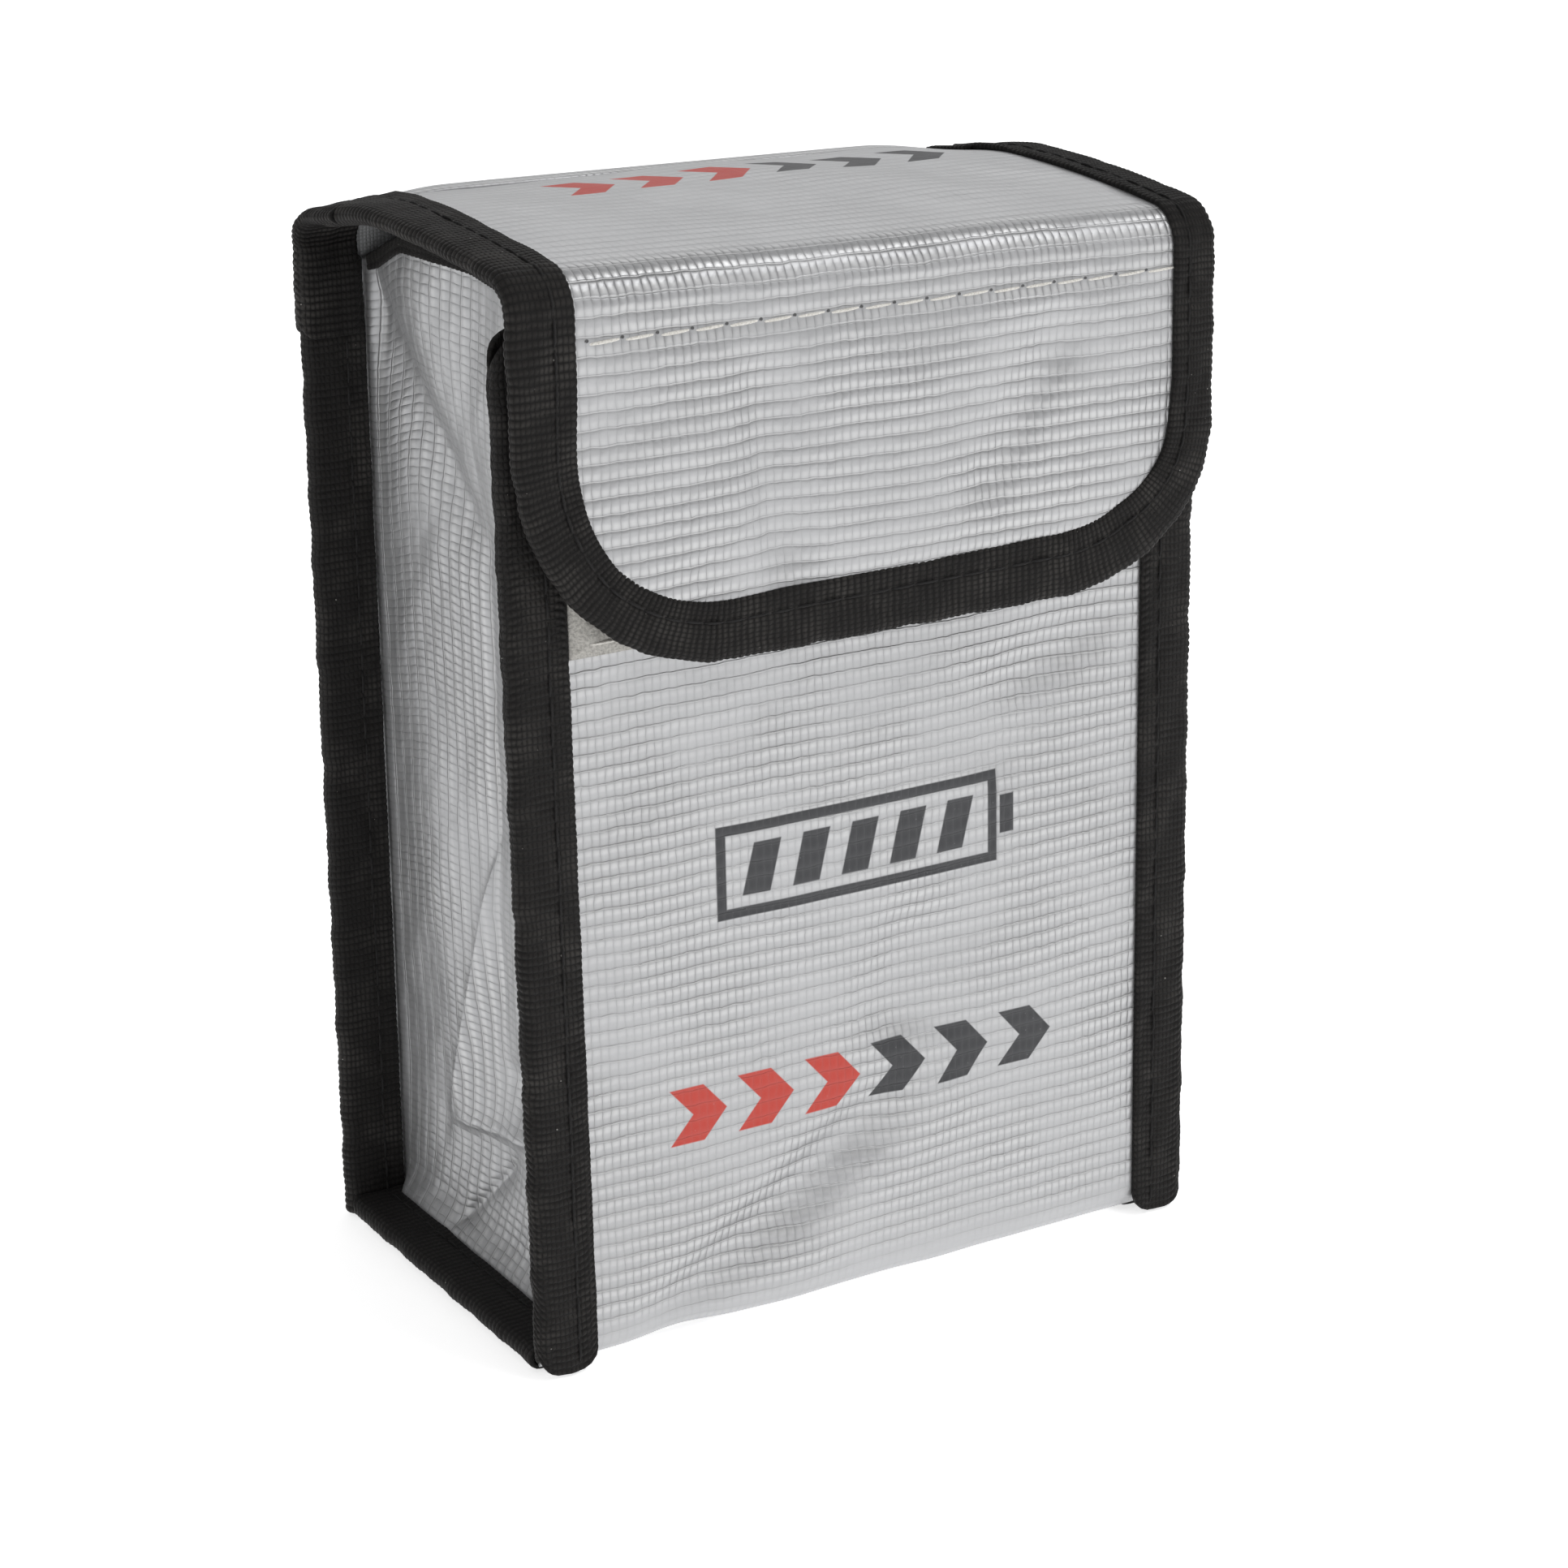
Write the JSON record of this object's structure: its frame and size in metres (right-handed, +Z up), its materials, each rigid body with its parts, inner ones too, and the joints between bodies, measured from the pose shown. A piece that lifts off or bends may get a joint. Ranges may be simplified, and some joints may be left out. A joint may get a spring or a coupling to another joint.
{
  "type": "lipo safe bag",
  "caption": "Foldable fire-resistant fabric pouch for a rechargeable battery, with a hinged lid, a closing flap, creased side gussets and bound seams.",
  "frame": {"origin": "on the floor under the middle of the bag's width and depth", "axes": "+Z up, -Y is the front that carries the flap, +X to the right as the front is looked at"},
  "size_m": [0.084, 0.05, 0.12],
  "materials": {
    "silver_cloth": "silver coated woven glass cloth, satin",
    "lining_cloth": "plain woven glass cloth lining, dull grey",
    "binding_tape": "black ribbed woven tape, matt",
    "hook_tape": "moulded hook tape, light grey",
    "loop_tape": "brushed loop tape, warm light grey",
    "white_thread": "off-white sewing thread"
  },
  "bodies": {
    "root": {"back_panel": "silver_cloth", "back_liner": "lining_cloth", "base_panel": "silver_cloth", "base_liner": "lining_cloth", "gusset_left": "silver_cloth", "gusset_right": "silver_cloth", "gusset_liner_left": "lining_cloth", "gusset_liner_right": "lining_cloth", "back_binding_left": "binding_tape", "back_binding_right": "binding_tape", "base_binding_left": "binding_tape", "base_binding_right": "binding_tape", "mouth_tape_left": "binding_tape", "mouth_tape_right": "binding_tape"},
    "front_wall": {"front_panel": "silver_cloth", "front_liner": "lining_cloth", "front_binding_left": "binding_tape", "front_binding_right": "binding_tape", "mouth_tape_front": "binding_tape", "loop_strip": "loop_tape", "loop_stitching": "white_thread"},
    "lid": {"lid_panel": "silver_cloth", "lid_liner": "lining_cloth", "lid_tape_left": "binding_tape", "lid_tape_right": "binding_tape"},
    "flap": {"flap_panel": "silver_cloth", "flap_liner": "lining_cloth", "flap_tape": "binding_tape", "hook_strip": "hook_tape", "flap_stitching": "white_thread"}
  },
  "joints": [
    {"name": "collapse", "type": "slide", "parent": "root", "child": "front_wall", "axis": [0, -1, 0], "range_m": [-0.038, 0], "deforming": ["base_panel", "base_liner", "gusset_left", "gusset_right", "gusset_liner_left", "gusset_liner_right", "base_binding_left", "base_binding_right", "mouth_tape_left", "mouth_tape_right"]},
    {"name": "lid_fold", "type": "hinge", "parent": "root", "child": "lid", "pos_m": [0, 0.0246, 0.114], "axis": [-1, 0, 0], "range_deg": [0, 220]},
    {"name": "flap_fold", "type": "hinge", "parent": "lid", "child": "flap", "pos_m": [0, -0.0223, 0.115], "axis": [-1, 0, 0], "range_deg": [0, 120]}
  ]
}
